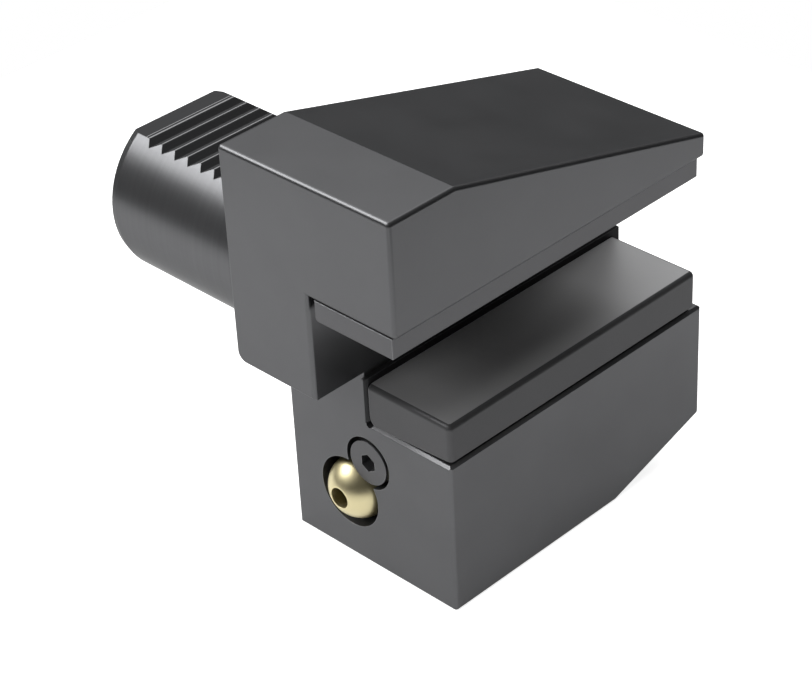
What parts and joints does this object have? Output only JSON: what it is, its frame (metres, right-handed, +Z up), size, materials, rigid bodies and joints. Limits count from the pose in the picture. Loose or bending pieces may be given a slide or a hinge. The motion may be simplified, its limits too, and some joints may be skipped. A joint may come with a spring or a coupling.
{
  "type": "turret tool holder",
  "caption": "Turret tool holder with a serrated round shank, a cross slot for a square tool shank, a clamping bar lifted from below and a ball coolant nozzle.",
  "frame": {"origin": "where the shank's axis meets the seating face of the head", "axes": "+X from the shank along its axis to the front of the head, +Y along the tool slot to the sloping end, +Z up through the toothed flat"},
  "size_m": [0.096, 0.0886, 0.0955],
  "materials": {
    "black_steel": "satin black oxide",
    "plate_steel": "ground and blackened",
    "screw_steel": "black oxide",
    "spring_steel": "drawn wire",
    "brass": "turned and polished",
    "seal_rubber": "matt"
  },
  "bodies": {
    "holder": {"holder_body": "black_steel", "support_plate": "plate_steel", "support_plate_screw_near": "screw_steel", "support_plate_screw_middle": "screw_steel", "support_plate_screw_far": "screw_steel", "bar_return_spring_near": "spring_steel", "bar_return_spring_far": "spring_steel", "nozzle_keeper_screw": "screw_steel", "nozzle_seal_ring": "seal_rubber", "shank_seal_ring": "seal_rubber", "coolant_gallery_plug": "screw_steel"},
    "clamp_bar": {"clamp_bar": "plate_steel", "bar_retainer_screw_near": "screw_steel", "bar_retainer_screw_far": "screw_steel"},
    "clamp_screw_near": {"clamp_screw_near": "screw_steel"},
    "clamp_screw_middle": {"clamp_screw_middle": "screw_steel"},
    "clamp_screw_far": {"clamp_screw_far": "screw_steel"},
    "nozzle": {"nozzle_ball": "brass"}
  },
  "joints": [
    {"name": "clamp_bar_lift", "type": "slide", "parent": "holder", "child": "clamp_bar", "axis": [0, 0, 1], "range_m": [0, 0.006], "deforming": ["bar_return_spring_near", "bar_return_spring_far"]},
    {"name": "clamp_screw_near_turn", "type": "hinge", "parent": "clamp_bar", "child": "clamp_screw_near", "pos_m": [0.03405, 0.00213, -0.0356], "axis": [0, 0, 1], "range_deg": [0, 1234.29]},
    {"name": "clamp_screw_middle_turn", "type": "hinge", "parent": "clamp_bar", "child": "clamp_screw_middle", "pos_m": [0.03405, 0.01812, -0.0356], "axis": [0, 0, 1], "range_deg": [0, 1234.29]},
    {"name": "clamp_screw_far_turn", "type": "hinge", "parent": "clamp_bar", "child": "clamp_screw_far", "pos_m": [0.03405, 0.03413, -0.0356], "axis": [0, 0, 1], "range_deg": [0, 1234.29]},
    {"name": "nozzle_tilt", "type": "hinge", "parent": "holder", "child": "nozzle", "pos_m": [0.0161, -0.0154, -0.04025], "axis": [1, 0, 0], "range_deg": [-20, 20]}
  ],
  "couplings": [
    {"joint": "clamp_screw_near_turn", "follows": "clamp_bar_lift", "rad_per_m": 3590.4},
    {"joint": "clamp_screw_middle_turn", "follows": "clamp_bar_lift", "rad_per_m": 3590.4},
    {"joint": "clamp_screw_far_turn", "follows": "clamp_bar_lift", "rad_per_m": 3590.4}
  ]
}
